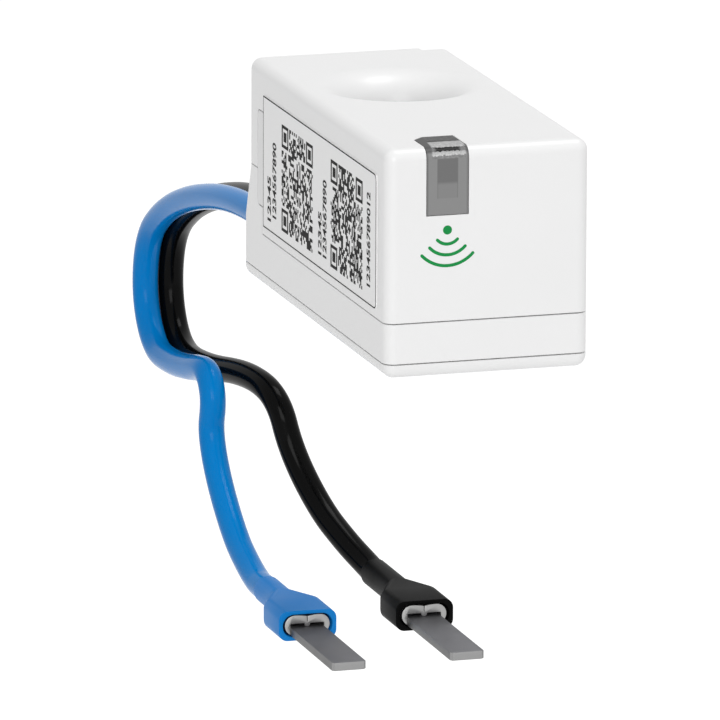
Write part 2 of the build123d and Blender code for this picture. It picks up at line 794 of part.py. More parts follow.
nodes = {
    "upper_housing": upper_housing.part,
    "lower_housing": lower_housing.part,
    "bottom_cover": bottom_cover.part,
    "light_guide": light_guide.part,
    "side_label": side_label.part,
    "power_board": power_board.part,
    "board_header": board_header.part,
    "header_pins": header_pins.part,
    "radio_board": radio_board.part,
    "status_led": status_led.part,
    "radio_module": radio_module.part,
    "chip_antenna": chip_antenna.part,
    "dropper_capacitor": dropper_capacitor.part,
    "bulk_capacitor": bulk_capacitor.part,
    "surge_varistor": surge_varistor.part,
    "fusible_resistor": fusible_resistor.part,
    "metering_chip": metering_chip.part,
    "inner_frame": inner_frame.part,
    "transformer_core": transformer_core.part,
    "transformer_winding": transformer_winding.part,
    "lead_clamp": lead_clamp.part,
    "bare_wires": bare_wires.part,
}
for name, x, route in (("neutral", neutral_x, neutral_route), ("phase", phase_x, phase_route)):
    outlet = Vector(x, rear_y, lead_z)
    places = [outlet + Vector(*point) for point in route]
    plane = plug_plane(places[-1])
    nodes[name + "_lead_tail"] = lead_tail(x)
    nodes[name + "_lead"] = lead_tube(name, places)
    nodes[name + "_boot"] = plug_boot(plane)
    nodes[name + "_ferrule"] = plug_ferrule(plane)
    nodes[name + "_blade"] = plug_blade(plane)

os.makedirs("parts", exist_ok=True)
for name, piece in nodes.items():
    piece.label = name
    export_step(piece, "parts/" + name + ".step")
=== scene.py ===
"""Looks of a small energy monitor: finishes, prints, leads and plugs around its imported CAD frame."""
import logging
from dataclasses import dataclass
from enum import Enum
from math import acos, cos, pi, radians, sin
from typing import Sequence

import bmesh
import bpy
from mathutils import Matrix, Vector


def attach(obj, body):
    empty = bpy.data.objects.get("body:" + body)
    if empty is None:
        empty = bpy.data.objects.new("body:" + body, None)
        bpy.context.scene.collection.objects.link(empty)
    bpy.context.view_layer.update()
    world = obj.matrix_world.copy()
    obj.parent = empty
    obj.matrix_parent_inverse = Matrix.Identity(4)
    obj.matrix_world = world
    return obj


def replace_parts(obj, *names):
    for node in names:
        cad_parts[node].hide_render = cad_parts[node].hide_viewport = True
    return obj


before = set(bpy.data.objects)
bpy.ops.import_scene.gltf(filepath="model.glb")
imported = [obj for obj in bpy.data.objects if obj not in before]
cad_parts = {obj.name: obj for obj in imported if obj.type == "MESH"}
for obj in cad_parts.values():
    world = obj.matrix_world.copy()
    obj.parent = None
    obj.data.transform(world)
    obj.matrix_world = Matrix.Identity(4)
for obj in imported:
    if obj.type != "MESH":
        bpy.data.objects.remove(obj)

log = logging.getLogger("energy_monitor")
Point = tuple[float, float, float]
Place = tuple[float, float]
Colour = tuple[float, float, float]
Value = object
Inputs = dict[str | int, Value]

MM = 0.001
BODY = "root"
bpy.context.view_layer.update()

# Sizes from the frame and of the prints in millimetres, and the edge angle of the rounded rims in degrees
SIDE_X = 8.2
FRONT_Y = -23.6
TOP_Z = 9.0
LABEL_X = -SIDE_X - 0.1
INK_HEIGHT = 0.01
RIM_CREASE = 40.0
OUTLET_Y = 15.4
OUTLET_Z = -6.1


class Nodes:
    """Adds and joins the nodes of one tree."""

    def __init__(self, tree: bpy.types.NodeTree) -> None:
        """Keeps the tree that the nodes go into."""
        self.tree = tree

    def add(self, kind: str, inputs: Inputs | None = None, **settings: Value) -> bpy.types.Node:
        """Adds one node.

        Args:
            kind: Blender's name of the node type.
            inputs: Plain values or sockets for its inputs, by name or by index.
            **settings: Properties of the node itself.

        Returns:
            The new node.
        """
        node = self.tree.nodes.new(kind)
        for name, value in settings.items():
            setattr(node, name, value)
        for key, value in (inputs or {}).items():
            self.feed(node.inputs[key], value)
        return node

    def feed(self, socket: bpy.types.NodeSocket, value: Value) -> None:
        """Joins another socket to an input, or sets the input to a plain value.

        Args:
            socket: The input.
            value: Plain value or socket for it.
        """
        if isinstance(value, bpy.types.NodeSocket):
            self.tree.links.new(value, socket)
        else:
            socket.default_value = value

    def place(self) -> bpy.types.NodeSocket:
        """Returns the shaded point's Object coordinates, in metres."""
        return self.add("ShaderNodeTexCoord").outputs["Object"]

    def parts(self, vector: Value) -> Sequence[bpy.types.NodeSocket]:
        """Returns the x, y and z of a vector."""
        return self.add("ShaderNodeSeparateXYZ", {0: vector}).outputs

    def noise(
        self, place: Value, scale: Value, detail: float, roughness: float = 0.5
    ) -> bpy.types.NodeSocket:
        """Returns a noise from 0 to 1, with its scale per metre."""
        values = {"Vector": place, "Scale": scale, "Detail": detail, "Roughness": roughness}
        return self.add("ShaderNodeTexNoise", values).outputs[0]

    def times(self, colour: Value, level: Value) -> bpy.types.NodeSocket:
        """Returns a colour times a level."""
        return self.add("ShaderNodeVectorMath", {0: colour, "Scale": level}, operation="SCALE").outputs[0]

    def math(self, operation: str, *values: Value, clamp: bool = False) -> bpy.types.NodeSocket:
        """Adds a math node and returns its output.

        Args:
            operation: Name of the operation.
            *values: One to three numbers or sockets.
            clamp: Whether the result is kept between 0 and 1.

        Returns:
            The socket with the result.
        """
        inputs = dict(enumerate(values))
        return self.add("ShaderNodeMath", inputs, operation=operation, use_clamp=clamp).outputs[0]

    def between(self, value: Value, low: float, high: float, soft: float) -> bpy.types.NodeSocket:
        """Returns a mask that is 1 where value lies between low and high, with soft edges.

        Args:
            value: Socket that is compared.
            low: Lower edge.
            high: Upper edge.
            soft: Width over which each edge fades.

        Returns:
            The socket with the mask.
        """
        edges = []
        for start, end in ((low, low + soft), (high, high - soft)):
            fade = {"Value": value, "From Min": start, "From Max": end}
            edges.append(self.add("ShaderNodeMapRange", fade, clamp=True).outputs[0])
        return self.math("MULTIPLY", edges[0], edges[1])

    def mix(self, factor: Value, first: Value, second: Value) -> bpy.types.NodeSocket:
        """Mixes two colours.

        Args:
            factor: Share of the second colour.
            first: Colour or socket at factor 0.
            second: Colour or socket at factor 1.

        Returns:
            The socket with the mixed colour.
        """
        values = {0: factor, 6: rgba(first), 7: rgba(second)}
        return self.add("ShaderNodeMix", values, data_type="RGBA").outputs[2]

    def ramp(self, factor: Value, stops: Sequence[tuple[float, float]]) -> bpy.types.NodeSocket:
        """Maps a value to grey through a list of stops.

        Args:
            factor: Socket with the value, from 0 to 1.
            stops: Pairs of place and grey level.

        Returns:
            The socket with the grey colour.
        """
        node = self.add("ShaderNodeValToRGB", {0: factor})
        elements = node.color_ramp.elements
        for index, (place, grey) in enumerate(stops):
            element = elements[index] if index < 2 else elements.new(place)
            element.position = place
            element.color = (grey, grey, grey, 1.0)
        return node.outputs[0]

    def group(self, tree: bpy.types.NodeTree, **inputs: Value) -> bpy.types.Node:
        """Places a shader node group and sets its inputs by name."""
        return self.add("ShaderNodeGroup", inputs, node_tree=tree)


def rgba(colour: Value) -> Value:
    """Returns a colour with its alpha, and a socket as it is."""
    return colour if isinstance(colour, bpy.types.NodeSocket) else (*colour, 1.0)


def cleared(owner: bpy.types.Material | bpy.types.World) -> Nodes:
    """Empties the node tree of a material or a world, and returns it.

    Args:
        owner: The material or the world.

    Returns:
        Its tree, ready for nodes.
    """
    owner.use_nodes = True
    owner.node_tree.nodes.clear()
    return Nodes(owner.node_tree)


def group_tree(
    name: str, inputs: Sequence[tuple[str, str, Value]], outputs: Sequence[tuple[str, str]]
) -> Nodes:
    """Makes an empty shader node group with named sockets.

    Args:
        name: Name of the group.
        inputs: Name, socket type and default value of each input.
        outputs: Name and socket type of each output.

    Returns:
        The group's tree, ready for nodes.
    """
    tree = bpy.data.node_groups.new(name, "ShaderNodeTree")
    for label, kind, value in inputs:
        socket = tree.interface.new_socket(name=label, in_out="INPUT", socket_type=kind)
        socket.default_value = value
    for label, kind in outputs:
        tree.interface.new_socket(name=label, in_out="OUTPUT", socket_type=kind)
    return Nodes(tree)


class Effects:
    """Shader node groups that several finishes share, each built once."""

    FLOAT = "NodeSocketFloat"
    COLOUR = "NodeSocketColor"
    PIT_SCALE = 0.35

    def __init__(self) -> None:
        """Builds the groups."""
        self.grain = self.build_grain()
        self.mottle = self.build_mottle()
        self.drawn = self.build_drawn()

    def build_grain(self) -> bpy.types.NodeTree:
        """Builds the fine spark-eroded texture of moulded plastic.

        Returns:
            The group, with the output Height.
        """
        inputs = [("Scale", self.FLOAT, 9000.0), ("Unevenness", self.FLOAT, 0.4)]
        kit = group_tree("moulded_grain", inputs, [("Height", self.FLOAT)])
        given = kit.add("NodeGroupInput")
        place = kit.place()
        fine = kit.noise(place, given.outputs["Scale"], 3.0, 0.6)
        pits_scale = kit.math("MULTIPLY", given.outputs["Scale"], self.PIT_SCALE)
        pits = kit.add("ShaderNodeTexVoronoi", {"Vector": place, "Scale": pits_scale}).outputs["Distance"]
        share = kit.math("MULTIPLY", pits, given.outputs["Unevenness"])
        self.finish_group(kit, Height=kit.math("ADD", fine, share))
        return kit.tree

    def build_mottle(self) -> bpy.types.NodeTree:
        """Builds the slow change of tone that a large moulded or dipped surface has.

        Returns:
            The group, with the outputs Colour and Change.
        """
        inputs = [
            ("Colour", self.COLOUR, (0.8, 0.8, 0.8, 1.0)),
            ("Scale", self.FLOAT, 160.0),
            ("Amount", self.FLOAT, 0.03),
        ]
        kit = group_tree("soft_mottle", inputs, [("Colour", self.COLOUR), ("Change", self.FLOAT)])
        given = kit.add("NodeGroupInput")
        cloud = kit.noise(kit.place(), given.outputs["Scale"], 4.0)
        swing = kit.math("SUBTRACT", cloud, 0.5)
        change = kit.math("MULTIPLY", swing, given.outputs["Amount"])
        tone = kit.times(given.outputs["Colour"], kit.math("ADD", change, 1.0))
        self.finish_group(kit, Colour=tone, Change=change)
        return kit.tree

    def build_drawn(self) -> bpy.types.NodeTree:
        """Builds the lines that rolling and stamping leave along the y axis of a metal sheet.

        Returns:
            The group, with the output Height.
        """
        inputs = [("Scale", self.FLOAT, 5000.0), ("Stretch", self.FLOAT, 0.05)]
        kit = group_tree("drawn_lines", inputs, [("Height", self.FLOAT)])
        given = kit.add("NodeGroupInput")
        x, y, z = kit.parts(kit.place())
        along = kit.math("MULTIPLY", y, given.outputs["Stretch"])
        flat = kit.add("ShaderNodeCombineXYZ", {0: x, 1: along, 2: z}).outputs[0]
        self.finish_group(kit, Height=kit.noise(flat, given.outputs["Scale"], 4.0))
        return kit.tree

    @staticmethod
    def finish_group(kit: Nodes, **outputs: bpy.types.NodeSocket) -> None:
        """Joins sockets to the group's outputs.

        Args:
            kit: Tree of the group.
            **outputs: The sockets, under the names of the outputs.
        """
        end = kit.add("NodeGroupOutput")
        for name, socket in outputs.items():
            kit.tree.links.new(socket, end.inputs[name])


EFFECTS = Effects()


@dataclass(frozen=True)
class Finish:
    """A surface finish: its name, its colour, how rough it is, and how both drift in patches."""

    name: str
    colour: Colour
    roughness: float = 0.5
    patch: float = 140.0
    drift: float = 0.03
    rough_drift: float = 1.5

    def material(self) -> bpy.types.Material:
        """Finds the finish's material, or builds it the first time.

        Returns:
            The material.
        """
        label = self.name + "_finish"
        made = bpy.data.materials.get(label)
        if made is None:
            made = bpy.data.materials.new(label)
            kit = cleared(made)
            values = {"Roughness": self.roughness, "Base Color": rgba(self.colour)}
            shader = kit.add("ShaderNodeBsdfPrincipled", values)
            kit.add("ShaderNodeOutputMaterial", {"Surface": shader.outputs[0]})
            self.dress(kit, shader)
        return made

    def dress(self, kit: Nodes, shader: bpy.types.Node) -> None:
        """Adds what this finish has beyond a plain colour."""

    def shade(self, level: float) -> Colour:
        """Returns the finish's colour times a level."""
        return tuple(level * part for part in self.colour)

    def uneven(self, kit: Nodes, shader: bpy.types.Node) -> None:
        """Lets the tone and the roughness drift over the surface.

        Args:
            kit: Tree of the material.
            shader: Its Principled shader.
        """
        patch = kit.group(EFFECTS.mottle, Colour=rgba(self.colour), Scale=self.patch, Amount=self.drift)
        drift = kit.math("MULTIPLY", patch.outputs["Change"], self.rough_drift)
        rough = kit.math("ADD", drift, self.roughness, clamp=True)
        kit.feed(shader.inputs["Base Color"], patch.outputs["Colour"])
        kit.feed(shader.inputs["Roughness"], rough)

    @staticmethod
    def bump(kit: Nodes, shader: bpy.types.Node, height: Value, strength: float, depth: float) -> None:
        """Feeds a height to the shader's normal, as deep as depth in metres at the given strength."""
        values = {"Height": height, "Strength": strength, "Distance": depth}
        kit.feed(shader.inputs["Normal"], kit.add("ShaderNodeBump", values).outputs[0])


@dataclass(frozen=True)
class Moulded(Finish):
    """Moulded plastic with a fine eroded texture."""

    grain: float = 9000.0
    grain_depth: float = 0.000004
    grain_strength: float = 0.25
    pitting: float = 0.5
    gloss: float = 0.5

    def dress(self, kit: Nodes, shader: bpy.types.Node) -> None:
        """Adds tone drift and the eroded texture.

        Args:
            kit: Tree of the material.
            shader: Its Principled shader.
        """
        shader.inputs["Specular IOR Level"].default_value = self.gloss
        self.uneven(kit, shader)
        grain = kit.group(EFFECTS.grain, Scale=self.grain, Unevenness=self.pitting)
        self.bump(kit, shader, grain.outputs["Height"], self.grain_strength, self.grain_depth)


@dataclass(frozen=True)
class Film(Moulded):
    """Satin printed film, with a slight orange peel in place of the moulded texture."""

    patch: float = 220.0
    drift: float = 0.02
    rough_drift: float = 2.0
    grain: float = 2500.0
    grain_depth: float = 0.000003
    grain_strength: float = 0.08
    pitting: float = 0.1


@dataclass(frozen=True)
class Ink(Finish):
    """Printed ink that covers a little unevenly."""

    patch: float = 2600.0
    drift: float = 0.25
    rough_drift: float = 0.4
    gloss: float = 0.1

    def dress(self, kit: Nodes, shader: bpy.types.Node) -> None:
        """Adds the ink's uneven cover."""
        shader.inputs["Specular IOR Level"].default_value = self.gloss
        self.uneven(kit, shader)


@dataclass(frozen=True)
class Jacket(Moulded):
    """Soft glossy insulation of a lead, with faint ripples of the extrusion."""

    patch: float = 110.0
    drift: float = 0.1
    rough_drift: float = 0.5
    grain: float = 700.0
    grain_depth: float = 0.00001
    grain_strength: float = 0.03
    pitting: float = 0.2
    gloss: float = 0.0
    coat: float = 1.0
    coat_index: float = 1.16
    coat_roughness: float = 0.16

    def dress(self, kit: Nodes, shader: bpy.types.Node) -> None:
        """Adds the gloss coat to the drift and the ripples.

        Args:
            kit: Tree of the material.
            shader: Its Principled shader.
        """
        super().dress(kit, shader)
        shader.inputs["Coat Weight"].default_value = self.coat
        shader.inputs["Coat Roughness"].default_value = self.coat_roughness
        shader.inputs["Coat IOR"].default_value = self.coat_index


@dataclass(frozen=True)
class Plated(Finish):
    """Plated or bare metal with drawn lines."""

    patch: float = 700.0
    drift: float = 0.16
    rough_drift: float = 0.9
    tint: Colour = (1.0, 1.0, 1.0)
    lines: float = 6000.0
    line_strength: float = 0.2
    line_depth: float = 0.000004
    stretch: float = 0.04

    def dress(self, kit: Nodes, shader: bpy.types.Node) -> None:
        """Adds metal, its tint at the edges and the drawn lines.

        Args:
            kit: Tree of the material.
            shader: Its Principled shader.
        """
        shader.inputs["Metallic"].default_value = 1.0
        shader.inputs["Specular Tint"].default_value = rgba(self.tint)
        self.uneven(kit, shader)
        drawn = kit.group(EFFECTS.drawn, Scale=self.lines, Stretch=self.stretch)
        self.bump(kit, shader, drawn.outputs["Height"], self.line_strength, self.line_depth)


@dataclass(frozen=True)
class Smoked(Finish):
    """Smoke-grey light guide: dark over the roof, with painted highlights and painted shade in bands round
    its bend, and its core showing through.

    Its lengths are in millimetres. Each painted band is a share of the bands' reach and the grey from there
    on.
    """

    bend_y: float = -22.7
    bend_z: float = 8.1
    bend_radius: float = 0.9
    middle: float = -3.25
    half_width: float = 1.65
    core_half_width: float = 0.86
    core_foot: float = 5.0
    dark_foot: float = 6.1
    core_shade: float = 0.92
    dark_shade: float = 0.66
    dark_fade: float = 0.25
    frame_inset: float = 0.12
    frame_outset: float = 0.06
    frame_shade: float = 0.66
    frame_share: float = 0.7
    rim: float = 0.16
    rim_shade: float = 0.6
    rim_share: float = 0.55
    side: float = 0.33
    side_foot: float = 0.45
    side_grey: float = 0.12
    slant: float = 0.1
    # Grey stops along the guide from the foot of the bend: the bright stops are painted highlights, the dark
    # band between them is painted shade, and the last stops lead into the roof's grey.
    painted_band_reach: float = 3.6
    painted_light_bands: Sequence[Place] = (
        (0.0, 0.26), (0.07, 0.26), (0.09, 0.56), (0.16, 0.48), (0.18, 0.2), (0.28, 0.16), (0.3, 0.5),
        (0.75, 0.48), (0.775, 0.09), (0.85, 0.09), (0.89, 0.13),
    )
    # Near-black band of painted shade between the two painted highlights, across the middle of the guide.
    painted_shade_span: Place = (0.17, 0.3)
    painted_shade_sides: Place = (-1.0, 1.15)
    painted_shade_fade: float = 0.015
    painted_shade_grey: float = 0.015
    speckle: float = 6500.0
    jitter: float = 0.4
    contrast: float = 1.1
    beyond: float = 9.0
    crisp: float = 0.08
    soft: float = 0.2
    line_fade: float = 0.05
    bend_fade: float = 0.1
    inner_fade: float = 0.12
    coat: float = 0.15
    coat_roughness: float = 0.08
    speckle_strength: float = 0.05
    speckle_depth: float = 0.000004

    def path_length(self, kit: Nodes, y: Value, z: Value) -> bpy.types.NodeSocket:
        """Returns how far a point lies along the guide, up the front, round the bend and back.

        Args:
            kit: Tree of the material.
            y: The point's y.
            z: The point's z.

        Returns:
            The socket with the length, 0 at the foot of the bend.
        """
        up = kit.math("SUBTRACT", z, self.bend_z)
        out = kit.math("SUBTRACT", self.bend_y, y)
        angle = kit.math("ARCTAN2", kit.math("MAXIMUM", up, 0.0), kit.math("MAXIMUM", out, 0.0))
        turn = kit.math("MULTIPLY", angle, self.bend_radius)
        back = kit.math("MAXIMUM", kit.math("MULTIPLY", out, -1.0), 0.0)
        return kit.math("ADD", turn, kit.math("ADD", back, kit.math("MINIMUM", up, 0.0)))

    def front(self, kit: Nodes, offset: Value, z: Value) -> bpy.types.NodeSocket:
        """Shades the front face: the core, dark at its top, the line round it and the guide's rims.

        Args:
            kit: Tree of the material.
            offset: Distance from the guide's middle plane.
            z: The point's z.

        Returns:
            The socket with the colour.
        """
        core = kit.between(offset, -1.0, self.core_half_width, self.crisp)
        dark = kit.math("MULTIPLY", core, kit.between(z, self.dark_foot, TOP_Z, self.dark_fade))
        pale = kit.math("MULTIPLY", core, kit.between(z, self.core_foot, TOP_Z, self.crisp))
        inside, outside = self.core_half_width - self.frame_inset, self.core_half_width + self.frame_outset
        line = kit.math("MULTIPLY", kit.between(offset, inside, outside, self.line_fade), pale)
        rim = kit.between(offset, self.half_width - self.rim, self.beyond, self.crisp)
        tone = kit.mix(pale, self.colour, self.shade(self.core_shade))
        tone = kit.mix(dark, tone, self.shade(self.dark_shade))
        tone = kit.mix(kit.math("MULTIPLY", line, self.frame_share), tone, self.shade(self.frame_shade))
        return kit.mix(kit.math("MULTIPLY", rim, self.rim_share), tone, self.shade(self.rim_shade))

    def dress(self, kit: Nodes, shader: bpy.types.Node) -> None:
        """Adds the painted highlights and painted shade in bands round the bend, the core's shade and the
        speckles of the moulded inner faces.

        Args:
            kit: Tree of the material.
            shader: Its Principled shader.
        """
        place = kit.place()
        x, y, z = (kit.math("DIVIDE", part, MM) for part in kit.parts(place))
        across = kit.math("SUBTRACT", x, self.middle)
        fine = kit.noise(place, self.speckle, 2.0)
        swing = kit.math("SUBTRACT", fine, 0.5)
        along = self.path_length(kit, y, z)
        jittered = kit.math("ADD", along, kit.math("MULTIPLY", swing, self.jitter))
        share = kit.math("DIVIDE", jittered, self.painted_band_reach)
        level = kit.math("ADD", kit.math("MULTIPLY", swing, self.contrast), 1.0)
        # Painted highlights and painted shade round the bend, as grey bands along the guide, speckled by the
        # fine noise.
        painted_light_bands = kit.times(kit.ramp(share, self.painted_light_bands), level)
        # Painted shade: a near-black band between the painted highlights round the bend.
        painted_shade_across = kit.between(across, *self.painted_shade_sides, self.soft)
        painted_shade = kit.math("MULTIPLY", kit.between(share, *self.painted_shade_span, self.painted_shade_fade), painted_shade_across)
        painted_bands = kit.mix(painted_shade, painted_light_bands, (self.painted_shade_grey,) * 3)
        front = self.front(kit, kit.math("ABSOLUTE", across), z)
        above = kit.between(along, self.side_foot, self.beyond, self.soft)
        sides = kit.mix(above, front, (self.side_grey,) * 3)
        slanted = kit.math("SUBTRACT", across, kit.math("MULTIPLY", along, self.slant))
        inner = kit.between(slanted, self.side - self.half_width, self.half_width - self.rim, self.inner_fade)
        bend = kit.math("MULTIPLY", kit.between(along, 0.0, self.beyond, self.bend_fade), inner)
        kit.feed(shader.inputs["Base Color"], kit.mix(bend, sides, painted_bands))
        shader.inputs["Specular IOR Level"].default_value = 0.0
        shader.inputs["Coat Weight"].default_value = self.coat
        shader.inputs["Coat Roughness"].default_value = self.coat_roughness
        self.bump(kit, shader, fine, self.speckle_strength, self.speckle_depth)


@dataclass(frozen=True)
class Wound(Finish):
    """Turns of tape or wire round a ring, as bands that follow the angle."""

    turns: int = 60
    lap_shade: float = 0.7
    lap_strength: float = 0.6
    lap_depth: float = 0.0001

    def dress(self, kit: Nodes, shader: bpy.types.Node) -> None:
        """Adds the overlapping turns.

        Args:
            kit: Tree of the material.
            shader: Its Principled shader.
        """
        x, y, _ = kit.parts(kit.place())
        angle = kit.math("ARCTAN2", y, x)
        lap = kit.math("FRACT", kit.math("MULTIPLY", angle, self.turns / (2 * pi)))
        kit.feed(shader.inputs["Base Color"], kit.mix(lap, self.colour, self.shade(self.lap_shade)))
        self.bump(kit, shader, lap, self.lap_strength, self.lap_depth)


@dataclass(frozen=True)
class Board(Finish):
    """Solder mask over copper tracks."""

    cells: float = 900.0
    track: Place = (0.28, 0.5)
    track_soft: float = 0.02
    track_shade: float = 1.6
    track_strength: float = 0.3
    track_depth: float = 0.00003

    def dress(self, kit: Nodes, shader: bpy.types.Node) -> None:
        """Adds tracks that show through the mask.

        Args:
            kit: Tree of the material.
            shader: Its Principled shader.
        """
        values = {"Vector": kit.place(), "Scale": self.cells}
        cells = kit.add("ShaderNodeTexVoronoi", values, distance="CHEBYCHEV")
        edge = kit.between(cells.outputs["Distance"], *self.track, self.track_soft)
        kit.feed(shader.inputs["Base Color"], kit.mix(edge, self.colour, self.shade(self.track_shade)))
        self.bump(kit, shader, edge, self.track_strength, self.track_depth)


HOUSING = Moulded("housing_white", (0.86, 0.86, 0.86), 0.33)
COVER = Moulded("cover_white", (0.86, 0.86, 0.86), 0.36)
FRAME_PLASTIC = Moulded("frame_white", (0.83, 0.83, 0.83), 0.45)
GUIDE = Smoked("guide_grey", (0.265, 0.265, 0.265), 0.22)
LABEL = Film("label_paper", (0.88, 0.88, 0.88), 0.38)
PRINT_BLACK = Ink("print_black", (0.003, 0.003, 0.003), 0.6)
PRINT_GREEN = Ink("print_green", (0.012, 0.27, 0.065), 0.55)
LEAD_BLUE = Jacket("lead_blue", (0.001, 0.212, 0.6), 0.3)
LEAD_BLACK = Jacket("lead_black", (0.002, 0.002, 0.002), 0.3, coat=0.6, coat_index=1.2)
BOOT_BLUE = Moulded("boot_blue", (0.004, 0.208, 0.61), 0.4, grain=6000.0, drift=0.08, gloss=0.14)
BOOT_BLACK = Moulded("boot_black", (0.003, 0.003, 0.003), 0.45, grain=6000.0, drift=0.1, gloss=0.03)
FERRULE_TIN = Plated("ferrule_tin", (0.36, 0.36, 0.355), 0.42, tint=(0.6, 0.6, 0.6))
BLADE_TIN = Plated("blade_tin", (0.25, 0.25, 0.262), 0.45, tint=(0.38, 0.38, 0.38))
SHEARED_TIN = Plated("sheared_tin", (0.29, 0.29, 0.29), 0.5, tint=(0.4, 0.4, 0.4))
BOARD_GREEN = Board("board_green", (0.02, 0.16, 0.07), 0.35)
PART_BLACK = Moulded("part_black", (0.03, 0.03, 0.032), 0.45)
COPPER_WIRE = Plated("copper_wire", (0.75, 0.5, 0.32), 0.3)

NODE_FINISHES: dict[str, Finish] = {
    "upper_housing": HOUSING,
    "lower_housing": HOUSING,
    "bottom_cover": COVER,
    "inner_frame": FRAME_PLASTIC,
    "light_guide": GUIDE,
    "side_label": LABEL,
    "power_board": BOARD_GREEN,
    "radio_board": BOARD_GREEN,
    "board_header": PART_BLACK,
    "metering_chip": PART_BLACK,
    "header_pins": COPPER_WIRE,
    "bare_wires": COPPER_WIRE,
    "status_led": Moulded("lamp_white", (0.85, 0.85, 0.72), 0.15, grain_strength=0.05),
    "radio_module": Plated("shield_steel", (0.72, 0.72, 0.72), 0.32),
    "chip_antenna": Moulded("antenna_ceramic", (0.78, 0.74, 0.62), 0.4),
    "dropper_capacitor": Moulded("capacitor_box", (0.5, 0.42, 0.1), 0.35),
    "bulk_capacitor": Plated("capacitor_can", (0.6, 0.6, 0.62), 0.28),
    "surge_varistor": Moulded("varistor_blue", (0.05, 0.14, 0.36), 0.25),
    "fusible_resistor": Moulded("resistor_green", (0.2, 0.34, 0.25), 0.6),
    "transformer_core": Plated("core_grey", (0.3, 0.3, 0.32), 0.4),
    "transformer_winding": Wound("winding_tape", (0.7, 0.48, 0.08), 0.3),
    "lead_clamp": Moulded("clamp_black", (0.04, 0.04, 0.04), 0.6),
    "neutral_lead_tail": LEAD_BLUE,
    "phase_lead_tail": LEAD_BLACK,
}


def linked(name: str, data: bpy.types.ID) -> bpy.types.Object:
    """Makes an object of some data and puts it in the scene.

    Args:
        name: Name of the object.
        data: Its mesh, curve, camera or light.

    Returns:
        The object.
    """
    made = bpy.data.objects.new(name, data)
    bpy.context.scene.collection.objects.link(made)
    return made


def plain_mesh(carrier: bpy.types.Object) -> bpy.types.Mesh:
    """Turns an object into the mesh that it shows, and removes the object.

    Args:
        carrier: The object, with its modifiers or its font settings.

    Returns:
        The mesh.
    """
    graph = bpy.context.evaluated_depsgraph_get()
    mesh = bpy.data.meshes.new_from_object(carrier.evaluated_get(graph))
    bpy.data.objects.remove(carrier)
    return mesh


def add_piece(name: str, mesh: bpy.types.Mesh, finish: Finish) -> bpy.types.Object:
    """Puts a finished mesh on the object's body.

    Args:
        name: Name of the piece.
        mesh: Its mesh, with its place in its points.
        finish: Finish of all its faces.

    Returns:
        The piece.
    """
    mesh.name = name
    mesh.materials.clear()
    mesh.materials.append(finish.material())
    piece = linked(name, mesh)
    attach(piece, BODY)
    log.info("%s: %d faces", name, len(mesh.polygons))
    return piece


def mesh_of(model: bmesh.types.BMesh, smooth: float | None = None) -> bpy.types.Mesh:
    """Turns a bmesh into a mesh with its faces outward.

    Args:
        model: The bmesh, which is freed.
        smooth: Angle in degrees under which edges are shaded smooth.

    Returns:
        The mesh.
    """
    bmesh.ops.remove_doubles(model, verts=model.verts, dist=1e-7)
    bmesh.ops.recalc_face_normals(model, faces=model.faces)
    if smooth is not None:
        for face in model.faces:
            face.smooth = True
        for edge in model.edges:
            edge.smooth = len(edge.link_faces) == 2 and edge.calc_face_angle(0.0) < radians(smooth)
    mesh = bpy.data.meshes.new("piece")
    model.to_mesh(mesh)
    model.free()
    return mesh


def rounded_outline(half_width: float, half_height: float, radius: float, steps: int) -> list[Place]:
    """Returns the points of a rounded rectangle, in order round it.

    Args:
        half_width: Half of its width.
        half_height: Half of its height.
        radius: Corner radius.
        steps: Points in each corner, less one.

    Returns:
        Its points.
    """
    points = []
    for corner in range(4):
        middle_x = (half_width - radius) * (1 if corner in (0, 3) else -1)
        middle_y = (half_height - radius) * (1 if corner in (0, 1) else -1)
        for step in range(steps + 1):
            angle = (corner + step / steps) * pi / 2
            points.append((middle_x + radius * cos(angle), middle_y + radius * sin(angle)))
    return points


def lofted(rings: Sequence[Sequence[Vector]], smooth: float) -> bpy.types.Mesh:
    """Joins rings of equal counts into a closed skin with a cap at each end.

    Args:
        rings: The rings, in order along the skin.
        smooth: Angle in degrees under which edges are shaded smooth.

    Returns:
        The mesh.
    """
    model = bmesh.new()
    rows = [[model.verts.new(point) for point in ring] for ring in rings]
    count = len(rows[0])
    for near, far in zip(rows, rows[1:]):
        for index in range(count):
            after = (index + 1) % count
            model.faces.new((near[index], near[after], far[after], far[index]))
    model.faces.new(list(reversed(rows[0])))
    model.faces.new(rows[-1])
    return mesh_of(model, smooth)


def extruded(outline: Sequence[Place], depth: float, bevel: float) -> bpy.types.Mesh:
    """Extrudes an outline along z and rounds its two rims.

    Args:
        outline: Points round the shape.
        depth: How far it goes.
        bevel: Width of the rounded rims.

    Returns:
        The mesh, in the outline's own units.
    """
    model = bmesh.new()
    face = model.faces.new([model.verts.new((x, y, 0.0)) for x, y in outline])
    made = bmesh.ops.extrude_face_region(model, geom=[face])
    tops = [v for v in made["geom"] if isinstance(v, bmesh.types.BMVert)]
    bmesh.ops.translate(model, verts=tops, vec=(0.0, 0.0, depth))
    bmesh.ops.recalc_face_normals(model, faces=model.faces)
    rims = [e for e in model.edges if abs(e.verts[0].co.z - e.verts[1].co.z) < depth / 2]
    if bevel:
        bmesh.ops.bevel(model, geom=rims, offset=bevel, segments=2, profile=0.5, affect="EDGES")
    return mesh_of(model, RIM_CREASE)


def scaled(mesh: bpy.types.Mesh, place: Matrix) -> bpy.types.Mesh:
    """Brings a mesh from millimetres to metres after placing it in the frame."""
    mesh.transform(Matrix.Scale(MM, 4) @ place)
    return mesh


